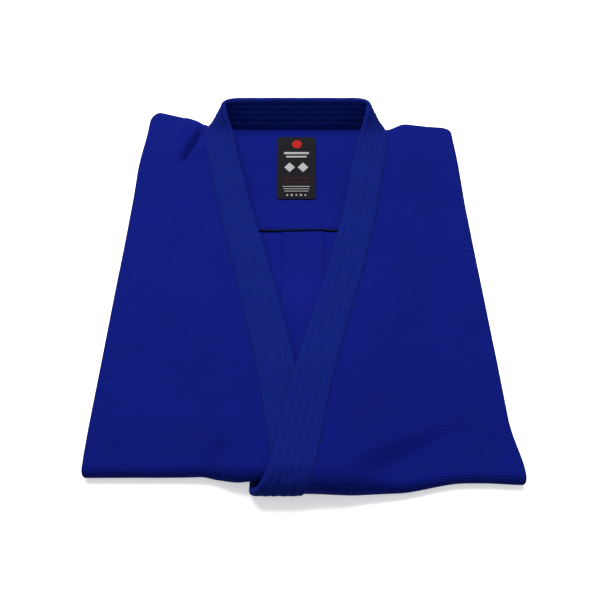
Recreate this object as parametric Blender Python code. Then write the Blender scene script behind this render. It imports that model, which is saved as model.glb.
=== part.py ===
"""Folded judo jacket, lying on its back, fronts crossed and the skirt turned under at the near edge.

Metres, +Z up. +Y runs from the folded edge to the collar, +X to the wearer's left. The origin is on the
table, below the middle of the folded jacket. Each sewn piece of the real jacket is one closed solid.
"""

import math

import bpy
import numpy as np

# Driving dimensions
HALF_WIDTH = 0.252
SIDE_Y = 0.300
BODY_CLOTH = 0.0026
SKIRT_CLOTH = 0.0020
LINING_CLOTH = 0.0010
GAP = 0.0004
SEWN_GAP = 0.0008
YOKE_GAP = 0.0015
BAND_WIDTH = 0.052
BAND_THICK = 0.0090
BAND_LEAF = 0.0015
BAND_SEAM = 0.008
COLLAR_SLACK = 0.0015
NECK_Y = 0.284

# Heights of each layer's middle, at the sides and above the crossed bands
FRONT_SIDE_Z = 0.0240
SKIRT_FRONT_Z = 0.0013
SKIRT_BACK_Z = 0.0045
SLEEVE_Z = 0.0096
BACK_Z = 0.0152
SKIRT_LIFT = 0.0063
BAND_LIFT = 0.0157
CENTRE_X = -0.007
LEFT_BAND_TOP, LEFT_BAND_BOTTOM = 0.0482, 0.0047
RIGHT_BAND_TOP, RIGHT_BAND_BOTTOM = 0.0388, 0.0141

# Where the folded layers start and end along Y
SKIRT_END_Y = -0.085
WAIST_Y = -0.250
CUFF_Y = -0.235
SLEEVE_TOP_Y = 0.285
YOKE_Y = 0.089
TAPE_LEFT, TAPE_RIGHT = -0.0220, 0.0370
PIPING_RADIUS = 0.0011
PIPING_HALF = 0.148

# (y, x of the seam edge, x of the free edge, height) along each front band, from neck to fold
LEFT_BAND = (
    (0.225, 0.137, 0.087, 0.0500),
    (0.110, 0.117, 0.066, 0.0350),
    (0.000, 0.091, 0.040, 0.0340),
    (-0.100, 0.063, 0.012, 0.0400),
    (-0.145, 0.052, 0.001, LEFT_BAND_TOP),
    (-0.190, 0.040, -0.011, LEFT_BAND_TOP),
    (-0.294, 0.020, -0.033, LEFT_BAND_TOP),
)
RIGHT_BAND = (
    (0.225, -0.140, -0.090, 0.0500),
    (0.110, -0.119, -0.068, 0.0350),
    (0.000, -0.091, -0.039, 0.0330),
    (-0.090, -0.071, -0.019, RIGHT_BAND_TOP),
    (-0.170, -0.053, -0.001, RIGHT_BAND_TOP),
    (-0.294, -0.032, 0.020, RIGHT_BAND_TOP),
)
# (x, y, z) of the standing collar's seam edge and free edge, from the lapel's top to the middle of the back
COLLAR_SEAM = (
    (0.1385, 0.2262, 0.0501),
    (0.1450, 0.2560, 0.0505),
    (0.1390, 0.2780, 0.0480),
    (0.1180, 0.2845, 0.0455),
    (0.0600, 0.2845, 0.0450),
    (0.0000, 0.2845, 0.0450),
)
COLLAR_FREE = (
    (0.0885, 0.2262, 0.0503),
    (0.0960, 0.2530, 0.0620),
    (0.1070, 0.2800, 0.0860),
    (0.1040, 0.2960, 0.0945),
    (0.0550, 0.2980, 0.0955),
    (0.0000, 0.2980, 0.0955),
)

BLUE = (0.008, 0.018, 0.22, 1.0)
LAPEL_BLUE = (0.010, 0.024, 0.22, 1.0)
LINING_BLUE = (0.010, 0.020, 0.25, 1.0)
NAVY = (0.004, 0.006, 0.030, 1.0)
BLACK = (0.010, 0.009, 0.011, 1.0)
WHITE = (0.62, 0.60, 0.55, 1.0)


def clear_scene():
    for obj in list(bpy.data.objects):
        bpy.data.objects.remove(obj, do_unlink=True)


def step(value, low, high):
    """Smooth step from 0 at low to 1 at high."""
    share = min(max((value - low) / (high - low), 0.0), 1.0)
    return share * share * (3.0 - 2.0 * share)


def row_at(rows, y):
    """Smoothly interpolated (seam x, free x, height) of a band at y."""
    ys = [row[0] for row in rows][::-1]
    return [float(np.interp(y, ys, [row[i] for row in rows][::-1])) for i in (1, 2, 3)]


def over_bands(x):
    """1 above the crossed bands at the middle of the jacket, 0 at its sides."""
    return 1.0 - step(abs(x - CENTRE_X), 0.035, 0.100)


def over_skirt(y):
    """1 where the skirt lies beneath, 0 beyond its hem."""
    return 1.0 - step(y, SKIRT_END_Y, SKIRT_END_Y + 0.12)


def neck_rise(x, y):
    return 0.030 * step(y, 0.130, NECK_Y) * (1.0 - 0.7 * step(abs(x), 0.10, 0.22))


def sleeve_z(x, y):
    lift = SKIRT_LIFT + BAND_LIFT * over_bands(x)
    return SLEEVE_Z - SKIRT_LIFT + lift * over_skirt(y)


def back_z(x, y):
    lift = SKIRT_LIFT + BAND_LIFT * over_bands(x)
    loose = 0.004 * (1.0 - over_skirt(y))
    return BACK_Z - SKIRT_LIFT + loose + lift * over_skirt(y) + neck_rise(x, y)


def skirt_back_z(x, y):
    return SKIRT_BACK_Z + BAND_LIFT * over_bands(x)


def left_skirt_z(x, y):
    return SKIRT_FRONT_Z + (LEFT_BAND_BOTTOM - SKIRT_FRONT_Z) * (1.0 - step(x, 0.025, 0.080))


def right_skirt_z(x, y):
    return SKIRT_FRONT_Z + (RIGHT_BAND_BOTTOM - SKIRT_FRONT_Z) * step(x, -0.100, -0.045)


def front_z(x, y, band):
    """Height of a front panel's middle: at the band's height beside it, falling away to the side."""
    seam, _, height = row_at(band, y)
    side = FRONT_SIDE_Z + 0.010 * step(y, 0.12, SIDE_Y)
    away = max(abs(x) - abs(seam), 0.0) if seam * x > 0 else 0.0
    near_band = math.exp(-((away / 0.075) ** 2))
    return side + (height - side) * near_band


def near_edge(x):
    """y of the folded edge: it bulges forward at the thick middle."""
    return -0.2880 - 0.0275 * (1.0 - step(abs(x), 0.035, HALF_WIDTH))


def side_x(sign, y):
    return sign * (HALF_WIDTH - 0.006 * step(y, 0.20, SIDE_Y))


def shoulder_y(x):
    """y of the shoulder line, from the neck out to the corner."""
    out = step(abs(x), 0.14, 0.235)
    return 0.292 + (0.028 if x < 0 else 0.010) * out - 0.012 * step(abs(x), 0.235, HALF_WIDTH)


def material(name, colour, roughness):
    made = bpy.data.materials.new(name)
    made.use_nodes = True
    shader = made.node_tree.nodes["Principled BSDF"]
    shader.inputs["Base Color"].default_value = colour
    shader.inputs["Roughness"].default_value = roughness
    shader.inputs["Metallic"].default_value = 0.0
    return made


def add_mesh(name, points, faces, finish):
    mesh = bpy.data.meshes.new(name)
    mesh.from_pydata([tuple(map(float, point)) for point in points], [], faces)
    mesh.shade_smooth()
    mesh.set_sharp_from_angle(angle=math.radians(40))
    mesh.materials.append(finish)
    obj = bpy.data.objects.new(name, mesh)
    bpy.context.scene.collection.objects.link(obj)
    return obj


def grid_normals(grid):
    along = np.gradient(grid, axis=0)
    across = np.gradient(grid, axis=1)
    normal = np.cross(along, across)
    return normal / np.linalg.norm(normal, axis=2, keepdims=True)


def sheet(name, grid, thickness, finish):
    """Closed solid: the grid of middle points, given thickness to both sides."""
    grid = np.array(grid, float)
    rows, columns = grid.shape[:2]
    offset = grid_normals(grid) * thickness / 2
    upper = (grid + offset).reshape(-1, 3)
    lower = (grid - offset).reshape(-1, 3)
    count = rows * columns
    faces = []
    for i in range(rows - 1):
        for j in range(columns - 1):
            a = i * columns + j
            quad = (a, a + columns, a + columns + 1, a + 1)
            faces.append(quad)
            faces.append(tuple(count + corner for corner in reversed(quad)))
    rim = [j for j in range(columns)]
    rim += [i * columns + columns - 1 for i in range(1, rows)]
    rim += [(rows - 1) * columns + j for j in range(columns - 2, -1, -1)]
    rim += [i * columns for i in range(rows - 2, 0, -1)]
    for a, b in zip(rim, rim[1:] + rim[:1]):
        faces.append((a, b, count + b, count + a))
    return add_mesh(name, np.vstack([upper, lower]), faces, finish)


def plan_sheet(name, height, left, right, y_range, thickness, finish, shape=(20, 14)):
    """Sheet lying at height(x, y) between the edges left(y) and right(y)."""
    grid = []
    for y in np.linspace(y_range[0], y_range[1], shape[0]):
        xs = np.linspace(left(y), right(y), shape[1])
        grid.append([(x, y, height(x, y)) for x in xs])
    return sheet(name, grid, thickness, finish)


def folded_column(x, top, bottom, apex_y, far_y, end_y, counts):
    """Points of one strip: along the top, round the near fold, and back underneath to end_y."""
    top_z, bottom_z = top(x, apex_y + 0.03), bottom(x, apex_y + 0.03)
    radius = (top_z - bottom_z) / 2
    centre_y, centre_z = apex_y + radius, (top_z + bottom_z) / 2
    column = [(x, y, top(x, y)) for y in np.linspace(far_y, centre_y, counts[0])]
    for turn in np.linspace(0, math.pi, counts[1])[1:]:
        column.append((x, centre_y - radius * math.sin(turn), centre_z + radius * math.cos(turn)))
    if end_y > centre_y:
        column += [(x, y, bottom(x, y)) for y in np.linspace(centre_y, end_y, counts[2])[1:]]
    return column


def seam_x(band, y):
    return row_at(band, max(y, band[-1][0]))[0]


def panel_edge(sign, band, y):
    """x of a front panel's inner edge: inside the band's seam, then clear of the standing collar."""
    tucked = seam_x(band, y) - sign * BAND_SEAM * (1.0 - step(y, 0.180, 0.215))
    return tucked + (sign * 0.1495 - tucked) * step(y, 0.205, 0.245)


def front_panel(name, sign, band, bottom, apex_inset, finish):
    """Front: from the shoulder down, round the near fold, to the waist seam just underneath."""
    columns = []
    for share in np.linspace(0, 1, 15):
        strip = []
        side = side_x(sign, 0.0)
        edge = panel_edge(sign, band, -1.0)
        x_fold = edge + (side - edge) * share
        apex = near_edge(x_fold) + apex_inset * (1.0 - step(abs(x_fold), 0.035, 0.120))
        fold = folded_column(
            x_fold,
            lambda x, y: front_z(x, y, band),
            bottom,
            apex,
            SIDE_Y,
            WAIST_Y,
            (19, 7, 4),
        )
        for x, y, z in fold[:19]:
            edge = panel_edge(sign, band, y)
            x_top = edge + (side_x(sign, y) - edge) * share
            y_top = y if y < 0.2 else 0.2 + (y - 0.2) * (shoulder_y(x_top) - 0.2) / (SIDE_Y - 0.2)
            strip.append((x_top, y_top, front_z(x_top, y_top, band)))
        columns.append(strip + fold[19:])
    grid = np.array(columns[::-1] if sign > 0 else columns)
    return sheet(name, grid, BODY_CLOTH, finish)


def band_stations(sign, band, apex_y, radius, centre_z, bottom_z):
    """(seam point, free point) pairs from the neck down the front, round the fold and on to the hem."""
    stations = []
    for y in np.linspace(band[0][0], band[-1][0], 17):
        seam, free, height = row_at(band, y)
        stations.append(((seam, y, height), (free, y, height)))
    seam, free, _ = row_at(band, band[-1][0])
    centre_y = apex_y + radius
    for turn in np.linspace(0, math.pi, 9)[1:]:
        y = centre_y - radius * math.sin(turn)
        z = centre_z + radius * math.cos(turn)
        stations.append(((seam, y, z), (free, y, z)))
    for y in np.linspace(centre_y, SKIRT_END_Y, 6)[1:]:
        stations.append(((seam, y, bottom_z), (free, y, bottom_z)))
    return stations


def swept(name, stations, section, finish, trim=0):
    """Solid with a section of (distance from seam edge, height) points, run along the stations.

    trim stations are left off each end."""
    seam = np.array([s[0] for s in stations], float)
    free = np.array([s[1] for s in stations], float)
    across = free - seam
    middle = (seam + free) / 2
    along = np.gradient(middle, axis=0)
    normal = np.cross(along, across)
    normal /= np.linalg.norm(normal, axis=1, keepdims=True)
    unit = across / np.linalg.norm(across, axis=1, keepdims=True)
    points = []
    kept = range(trim, len(stations) - trim)
    for i in kept:
        for distance, height in section:
            points.append(seam[i] + unit[i] * distance + normal[i] * height)
    size = len(section)
    faces = []
    for i in range(len(kept) - 1):
        for j in range(size):
            k = (j + 1) % size
            a, b = i * size, (i + 1) * size
            faces.append((a + j, a + k, b + k, b + j))
    faces.append(tuple(range(size - 1, -1, -1)))
    faces.append(tuple(range((len(kept) - 1) * size, len(kept) * size)))
    obj = add_mesh(name, points, faces, finish)
    volume = signed_volume(obj.data)
    if volume < 0:
        obj.data.flip_normals()
    return obj


def signed_volume(mesh):
    mesh.calc_loop_triangles()
    points = np.array([vertex.co for vertex in mesh.vertices])
    corners = points[np.array([triangle.vertices for triangle in mesh.loop_triangles])]
    return float(np.einsum("ij,ij->", corners[:, 0], np.cross(corners[:, 1], corners[:, 2])))


def cover_section():
    """U of canvas, open at the seam edge where the body cloth goes in, round at the free edge."""
    outer, inner = BAND_THICK / 2, BAND_THICK / 2 - BAND_LEAF
    centre = BAND_WIDTH - outer
    section = [(0.0, -outer)]
    for turn in np.linspace(-math.pi / 2, math.pi / 2, 7):
        section.append((centre + outer * math.cos(turn), outer * math.sin(turn)))
    section.append((0.0, outer))
    section.append((0.0, inner))
    for turn in np.linspace(math.pi / 2, -math.pi / 2, 5):
        section.append((centre + inner * math.cos(turn), inner * math.sin(turn)))
    section.append((0.0, -inner))
    return section


def core_section(slack=GAP):
    """Flat pad of stacked canvas inside the cover, beyond the body cloth's seam allowance."""
    half = BAND_THICK / 2 - BAND_LEAF - slack
    near, far = BAND_SEAM + 0.003, BAND_WIDTH - BAND_THICK / 2 - slack
    return [(near, -half), (far, -half), (far + half * 0.7, 0.0), (far, half), (near, half)]


def bands(canvas, padding):
    left = band_stations(1, LEFT_BAND, -0.3155, 0.02175, 0.02645, LEFT_BAND_BOTTOM)
    right = band_stations(-1, RIGHT_BAND, -0.3061, 0.01235, 0.02645, RIGHT_BAND_BOTTOM)
    for name, stations in (("left", left), ("right", right)):
        swept(f"{name}_lapel_cover", stations, cover_section(), canvas)
        swept(f"{name}_lapel_core", stations, core_section(), padding, trim=1)
    collar = collar_stations()
    swept("collar_cover", collar, cover_section(), canvas)
    swept("collar_core", collar, core_section(COLLAR_SLACK), padding, trim=5)


def smooth_path(points, per_span):
    """Points along the Catmull-Rom curve through the given ones."""
    points = np.array(points, float)
    ends = [2 * points[0] - points[1]], [2 * points[-1] - points[-2]]
    padded = np.vstack([ends[0], points, ends[1]])
    path = []
    for a, b, c, d in zip(padded, padded[1:], padded[2:], padded[3:]):
        for t in np.linspace(0, 1, per_span, endpoint=False):
            square, cube = 2 * a - 5 * b + 4 * c - d, 3 * b - a - 3 * c + d
            path.append(0.5 * (2 * b + (c - a) * t + square * t**2 + cube * t**3))
    return path + [points[-1]]


def collar_stations():
    """Standing back collar: up round one side of the neck, across the back and down the other side."""
    mirror = np.array([-1.0, 1.0, 1.0])
    edges = []
    for half in (COLLAR_SEAM, COLLAR_FREE):
        right = [np.array(point) * mirror for point in half]
        left = [np.array(point) for point in half[::-1]][1:]
        edges.append(smooth_path(right + left, 8))
    return list(zip(*edges))


def tube_section(width, thickness, wall):
    """Outer and inner outline of a flattened sleeve, as matching loops of (x, z)."""
    loops = []
    for inset in (0.0, wall):
        half, radius = width / 2 - thickness / 2, thickness / 2 - inset
        loop = []
        for centre, start in ((half, -math.pi / 2), (-half, math.pi / 2)):
            for turn in np.linspace(start, start + math.pi, 5):
                loop.append((centre + radius * math.cos(turn), radius * math.sin(turn)))
            edge = radius if centre > 0 else -radius
            for share in np.linspace(0, 1, 12)[1:-1]:
                loop.append((centre - 2 * centre * share, edge))
        loops.append(loop)
    return loops


def sleeve_tube(name, sign, y_range, widths, depths, finish, count):
    """Flattened, open-ended tube lying along Y under the back; depths are its thickness and its wall."""
    points = []
    size = 0
    thickness, wall = depths
    for i in range(count):
        share = i / (count - 1)
        y = y_range[0] + (y_range[1] - y_range[0]) * share
        width = widths[0] + (widths[1] - widths[0]) * share
        middle = sign * (HALF_WIDTH - 0.008 - width / 2)
        for loop in tube_section(width, thickness, wall):
            size = len(loop)
            for x, z in loop:
                points.append((middle + x, y, sleeve_z(middle + x, y) + z))
    faces = []
    ring = 2 * size
    for j in range(size):
        k = (j + 1) % size
        for i in range(count - 1):
            a, b = i * ring, (i + 1) * ring
            faces.append((a + j, a + k, b + k, b + j))
            faces.append((a + size + k, a + size + j, b + size + j, b + size + k))
        faces.append((k, j, size + j, size + k))
        last = (count - 1) * ring
        faces.append((last + j, last + k, last + size + k, last + size + j))
    obj = add_mesh(name, points, faces, finish)
    if signed_volume(obj.data) < 0:
        obj.data.flip_normals()
    return obj


def sleeves(weave):
    for name, sign in (("left", 1), ("right", -1)):
        arm, cuff = (SLEEVE_TOP_Y, CUFF_Y + 0.026), (CUFF_Y + 0.0255, CUFF_Y)
        sleeve_tube(f"{name}_sleeve", sign, arm, (0.215, 0.185), (0.0066, 0.0024), weave, 18)
        sleeve_tube(f"{name}_cuff_band", sign, cuff, (0.186, 0.184), (0.0070, 0.0029), weave, 3)
        plan_sheet(
            f"{name}_underarm_gusset",
            lambda x, y: back_z(x, y) - BODY_CLOTH / 2 - GAP - LINING_CLOTH / 2,
            lambda y: sign * 0.205 - 0.030 * (1 - abs(y - 0.06) / 0.06) - 0.003,
            lambda y: sign * 0.205 + 0.030 * (1 - abs(y - 0.06) / 0.06) + 0.003,
            (0.005, 0.115),
            LINING_CLOTH,
            weave,
            (7, 4),
        )


def backs(weave, smooth, canvas):
    """Back in two halves with a taped centre seam, lined at the top by the yoke."""
    for name, sign in (("left", 1), ("right", -1)):
        columns = []
        for share in np.linspace(0, 1, 13):
            x = sign * (0.0004 + (HALF_WIDTH - 0.006 - 0.0004) * share)
            far = NECK_Y - 0.0055 - 0.010 * step(abs(x), 0.100, 0.115) + 0.008 * step(abs(x), 0.14, 0.20)
            columns.append(
                folded_column(x, back_z, skirt_back_z, near_edge(x) + 0.019, far, WAIST_Y, (30, 5, 3))
            )
        sheet(f"{name}_back_panel", columns[::-1] if sign > 0 else columns, BODY_CLOTH, weave)
    above = BODY_CLOTH / 2 + SEWN_GAP
    plan_sheet(
        "centre_back_tape",
        lambda x, y: back_z(x, y) + above + LINING_CLOTH / 2,
        lambda y: TAPE_LEFT,
        lambda y: TAPE_RIGHT,
        (-0.270, YOKE_Y - 0.004),
        LINING_CLOTH,
        canvas,
        (26, 10),
    )
    plan_sheet(
        "yoke_lining",
        lambda x, y: back_z(x, y) + (BODY_CLOTH + LINING_CLOTH) / 2 + YOKE_GAP,
        lambda y: -0.150 + 0.055 * step(y, 0.250, 0.268),
        lambda y: 0.150 - 0.055 * step(y, 0.250, 0.268),
        (YOKE_Y, NECK_Y - 0.0065),
        LINING_CLOTH,
        smooth,
        (12, 14),
    )


def yoke_piping(finish):
    """Thin cord stitched along the lower edge of the yoke."""
    curve = bpy.data.curves.new("yoke_piping", "CURVE")
    curve.dimensions = "3D"
    curve.bevel_depth = PIPING_RADIUS
    curve.bevel_resolution = 2
    curve.use_fill_caps = True
    spline = curve.splines.new("POLY")
    xs = np.linspace(-PIPING_HALF, PIPING_HALF, 25)
    spline.points.add(len(xs) - 1)
    for point, x in zip(spline.points, xs):
        y = YOKE_Y - 0.0019
        over_tape = TAPE_LEFT - 0.006 < x < TAPE_RIGHT + 0.006
        z = back_z(x, y) + BODY_CLOTH / 2 + SEWN_GAP + PIPING_RADIUS * (2 if over_tape else 1)
        point.co = (x, y, z, 1.0)
    curve.materials.append(finish)
    obj = bpy.data.objects.new("yoke_piping", curve)
    bpy.context.scene.collection.objects.link(obj)


def neck_label(finish):
    lift = BODY_CLOTH / 2 + YOKE_GAP + LINING_CLOTH + GAP + 0.0003
    plan_sheet(
        "neck_label",
        lambda x, y: back_z(x, y) + lift,
        lambda y: -0.030,
        lambda y: 0.028,
        (0.157, 0.262),
        0.0006,
        finish,
        (8, 4),
    )


def shoulder_linings(smooth):
    for name, sign, band in (("left", 1, LEFT_BAND), ("right", -1, RIGHT_BAND)):
        edges = (
            lambda y, s=sign, b=band: s * (abs(seam_x(b, y)) + 0.018),
            lambda y, s=sign: s * (HALF_WIDTH - 0.016),
        )
        first, last = edges if sign > 0 else edges[::-1]
        plan_sheet(
            f"{name}_shoulder_lining",
            lambda x, y, b=band: front_z(x, y, b) - BODY_CLOTH / 2 - GAP - LINING_CLOTH,
            first,
            last,
            (0.150, 0.272),
            LINING_CLOTH,
            smooth,
            (8, 8),
        )


def fronts(weave):
    front_panel("left_front_panel", 1, LEFT_BAND, left_skirt_z, 0.0, weave)
    front_panel("right_front_panel", -1, RIGHT_BAND, right_skirt_z, 0.0094, weave)


def skirt(weave, canvas):
    """Lower jacket under the fold: two fronts and a back, each with a turned hem at its end."""
    start, end = WAIST_Y + GAP, SKIRT_END_Y - 0.022
    hem = (SKIRT_END_Y - 0.0216, SKIRT_END_Y)
    pieces = (
        ("left_front_skirt", left_skirt_z, 0.020 - BAND_SEAM, HALF_WIDTH - 0.002, "left_front_hem"),
        ("right_front_skirt", right_skirt_z, 0.002 - HALF_WIDTH, -0.032 + BAND_SEAM, "right_front_hem"),
        ("back_skirt", skirt_back_z, 0.006 - HALF_WIDTH, HALF_WIDTH - 0.006, "back_hem"),
    )
    for name, height, left, right, hem_name in pieces:
        columns = 34 if height is skirt_back_z else 16
        edges = (lambda y: left, lambda y: right)
        plan_sheet(name, height, *edges, (start, end), SKIRT_CLOTH, weave, (7, columns))
        plan_sheet(hem_name, height, *edges, hem, SKIRT_CLOTH, canvas, (2, columns))


def vent_patches(canvas):
    """Small squares that stop the side slits tearing, between the front and back skirts."""
    for name, sign in (("left", 1), ("right", -1)):
        plan_sheet(
            f"{name}_vent_patch",
            lambda x, y: skirt_back_z(x, y) - SKIRT_CLOTH / 2 - 0.0006,
            lambda y: sign * 0.222 - 0.017,
            lambda y: sign * 0.222 + 0.017,
            (-0.236, -0.200),
            0.0006,
            canvas,
            (3, 4),
        )


def build():
    clear_scene()
    weave = material("pearl_weave", BLUE, 0.85)
    skirt_weave = material("skirt_weave", BLUE, 0.85)
    canvas = material("lapel_canvas", LAPEL_BLUE, 0.8)
    smooth = material("drill_lining", LINING_BLUE, 0.8)
    padding = material("cotton_padding", WHITE, 0.95)
    fronts(weave)
    bands(canvas, padding)
    backs(weave, smooth, canvas)
    yoke_piping(material("piping", NAVY, 0.7))
    neck_label(material("woven_label", BLACK, 0.6))
    shoulder_linings(smooth)
    sleeves(weave)
    skirt(skirt_weave, canvas)
    vent_patches(canvas)


build()
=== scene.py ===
import math

import bpy
import numpy as np
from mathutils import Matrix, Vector


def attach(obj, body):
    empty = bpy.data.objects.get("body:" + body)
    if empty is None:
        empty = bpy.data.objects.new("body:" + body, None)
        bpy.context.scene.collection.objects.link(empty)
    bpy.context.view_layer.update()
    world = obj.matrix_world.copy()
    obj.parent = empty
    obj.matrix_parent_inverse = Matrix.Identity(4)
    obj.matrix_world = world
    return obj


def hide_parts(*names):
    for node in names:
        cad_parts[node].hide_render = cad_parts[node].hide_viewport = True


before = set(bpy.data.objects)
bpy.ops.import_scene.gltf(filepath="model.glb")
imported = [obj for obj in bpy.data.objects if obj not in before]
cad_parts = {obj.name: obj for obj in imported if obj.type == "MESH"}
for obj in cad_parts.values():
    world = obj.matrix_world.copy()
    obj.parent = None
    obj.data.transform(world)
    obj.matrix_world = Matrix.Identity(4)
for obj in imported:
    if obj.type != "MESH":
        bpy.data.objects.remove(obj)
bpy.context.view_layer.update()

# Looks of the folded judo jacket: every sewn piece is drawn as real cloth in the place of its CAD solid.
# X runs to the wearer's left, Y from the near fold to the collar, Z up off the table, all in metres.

BODY = "root"
UP = np.array([0.0, 0.0, 1.0])

# Cloth thicknesses and the heights of the flat layers, as in the CAD
HALF_WIDTH = 0.252
BODY_CLOTH = 0.0026
SKIRT_CLOTH = 0.0020
LINING_CLOTH = 0.0010
BACK_TOP = BODY_CLOTH / 2
BAND_WIDTH = 0.052
BAND_THICK = 0.0090
BAND_SEAM = 0.008
FRONT_SIDE_Z = 0.0240
SKIRT_FRONT_Z = 0.0013
SKIRT_BACK_Z = 0.0045
SLEEVE_Z = 0.0096
BACK_Z = 0.0152
SKIRT_LIFT = 0.0063
BAND_LIFT = 0.0157
CENTRE_X = -0.007
SKIRT_END_Y = -0.085
WAIST_Y = -0.250
SIDE_Y = 0.300
NECK_Y = 0.284
YOKE_Y = 0.089
SLEEVE_Y = (0.285, -0.209)
CUFF_Y = (-0.2095, -0.235)

# Edges of the tape over the centre back seam
TAPE_LEFT = -0.0245
TAPE_RIGHT = 0.0370

# Flattened sleeve and cuff: (width at the start, width at the end), thickness, wall
SLEEVE_SIZE = ((0.215, 0.185), 0.0066, 0.0024)
CUFF_SIZE = ((0.186, 0.184), 0.0070, 0.0029)
CUFF_STITCH_ROWS = (0.005, 0.011, 0.017)

# Middle of each underarm gusset (a diamond of this half width and half length), and of each vent patch
GUSSET_X, GUSSET_Y = 0.205, 0.060
GUSSET_WIDTH, GUSSET_LENGTH = 0.030, 0.060
VENT_X, VENT_HALF = 0.222, 0.017

# Least radius of a rolled edge
LEAST_ROLL = 0.0008

# The jacket lies a little unevenly: how far its collar foot and its shoulder ends lean on each side
NECK_LEAN = {"left": 1.0, "right": 1.065}
SIDE_LEAN = {"left": 0.002, "right": 0.006}

# A band's turn at the near fold: its middle, then (height of the run underneath, radius) of each band
FOLD_Y = -0.2935
FOLD_Z = 0.02645
BAND_TURN = {"right": (0.0141, 0.01235), "left": (0.0047, 0.02175)}
LEFT_TURN_REACH = 0.0050

# Where the two bands meet on the back of the neck
JOIN_X = 0.087

# (y, x of seam edge, x of free edge, height) along each front band, from neck to fold
LEFT_BAND = (
    (0.225, 0.137, 0.087, 0.0500),
    (0.110, 0.117, 0.066, 0.0350),
    (0.000, 0.091, 0.040, 0.0340),
    (-0.100, 0.063, 0.012, 0.0400),
    (-0.145, 0.052, 0.001, 0.0482),
    (-0.190, 0.040, -0.011, 0.0482),
    (-0.294, 0.020, -0.033, 0.0482),
)
RIGHT_BAND = (
    (0.225, -0.144, -0.096, 0.0500),
    (0.110, -0.119, -0.068, 0.0350),
    (0.000, -0.091, -0.039, 0.0330),
    (-0.090, -0.071, -0.019, 0.0388),
    (-0.170, -0.053, -0.001, 0.0388),
    (-0.294, -0.032, 0.020, 0.0388),
)
# (x, y, z) round the side of the neck to the middle of the back, for a band's seam edge and free edge
COLLAR_SEAM = (
    (0.1405, 0.2560, 0.0505),
    (0.1365, 0.2780, 0.0480),
    (0.1180, 0.2845, 0.0455),
    (0.0600, 0.2845, 0.0450),
    (0.0000, 0.2845, 0.0450),
)
COLLAR_FREE = (
    (0.0960, 0.2530, 0.0620),
    (0.1070, 0.2800, 0.0860),
    (0.1040, 0.2960, 0.0945),
    (0.0550, 0.2980, 0.0955),
    (0.0000, 0.2980, 0.0955),
)
# Distances of the stitch rows from the seam edge
STITCH_ROWS = (0.0055, 0.0145, 0.0235, 0.0325, 0.0415)

# Soft ridges of each front and, with a negative height, its valleys: (start, end, width, height)
FOLDS = {
    "left": (
        ((0.055, -0.292), (0.150, -0.238), 0.014, 0.0030),
        ((0.075, -0.300), (0.200, -0.240), 0.012, -0.0030),
        ((0.150, 0.275), (0.142, 0.150), 0.009, -0.0020),
    ),
    "right": (
        ((-0.157, 0.281), (-0.180, 0.212), 0.0060, -0.0130),
        ((-0.182, 0.300), (-0.202, 0.225), 0.0140, 0.0035),
        ((-0.136, 0.270), (-0.160, 0.215), 0.0070, 0.0030),
        ((-0.075, -0.245), (-0.200, -0.215), 0.018, 0.0015),
        ((-0.108, -0.298), (-0.088, -0.264), 0.009, -0.0035),
    ),
}

# Seeds of each front's coarse and fine ripples, and the waves that make up a ripple
RIPPLE_SEEDS = {"left": (3, 13), "right": (4, 14)}
WAVES = 9

# Corners of the woven label, and its bars as (x, y, width, height)
LABEL_LOW = (-0.034, 0.150)
LABEL_HIGH = (0.027, 0.263)
LABEL_CORNER = 0.006
DARK_BARS = ((-0.0265, 0.1875, 0.0460, 0.0018), (-0.0245, 0.1800, 0.0420, 0.0013))
WHITE_BARS = ((-0.0245, 0.2295, 0.0425, 0.0040), (-0.0205, 0.2235, 0.0345, 0.0030))
MARK_LIFT = 0.0007

# Camera, and the lamp above and beyond the collar
CAMERA_PLACE = (-0.004, -0.6376, 0.7955)
CAMERA_TILT = math.radians(37.7)
CAMERA_ANGLE = math.radians(45.0)
LAMP_PLACE = (-0.22, 0.85, 2.25)
LAMP_SIZE = (1.8, 1.4)
LAMP_POWER = 98.0
SKY_STRENGTH = 0.44

# Weave and stitch scale
PEARL_ROW = 0.0030
PEARL_GRAIN = 0.0085
DRILL_TWILL = 0.0016
CANVAS_THREAD = 0.0014
STITCH_STEP = 0.0040
STITCH_LENGTH = 0.0029
STITCH_RADIUS = 0.00036
STITCH_SIDES = 6
CORD_SIDES = 12

# Brightness between the threads
PEARL_VALLEY = 0.72
PLAIN_VALLEY = 0.75

# Linear colours of the cloths and threads
ROYAL = (0.0019, 0.0054, 0.1090, 1.0)
LAPEL = (0.0027, 0.0084, 0.1170, 1.0)
LINING = (0.0023, 0.0060, 0.1230, 1.0)
THREAD = (0.0045, 0.0120, 0.1500, 1.0)
NAVY = (0.0050, 0.0075, 0.0300, 1.0)


# ---- shapes


def ease(value, low, high):
    """Smooth step from 0 at low to 1 at high."""
    share = np.clip((value - low) / (high - low), 0.0, 1.0)
    return share * share * (3.0 - 2.0 * share)


def ripples(x, y, size, seed):
    """Gentle uneven waves of about this size, from -1 to 1."""
    rng = np.random.default_rng(seed)
    total = np.zeros(np.broadcast(x, y).shape)
    for _ in range(WAVES):
        angle, phase = rng.uniform(0, math.pi), rng.uniform(0, 2 * math.pi)
        length = size * rng.uniform(0.6, 1.6)
        wave = (x * math.cos(angle) + y * math.sin(angle)) * 2 * math.pi / length
        total += np.sin(wave + phase)
    return total / math.sqrt(WAVES) / 1.6


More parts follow.
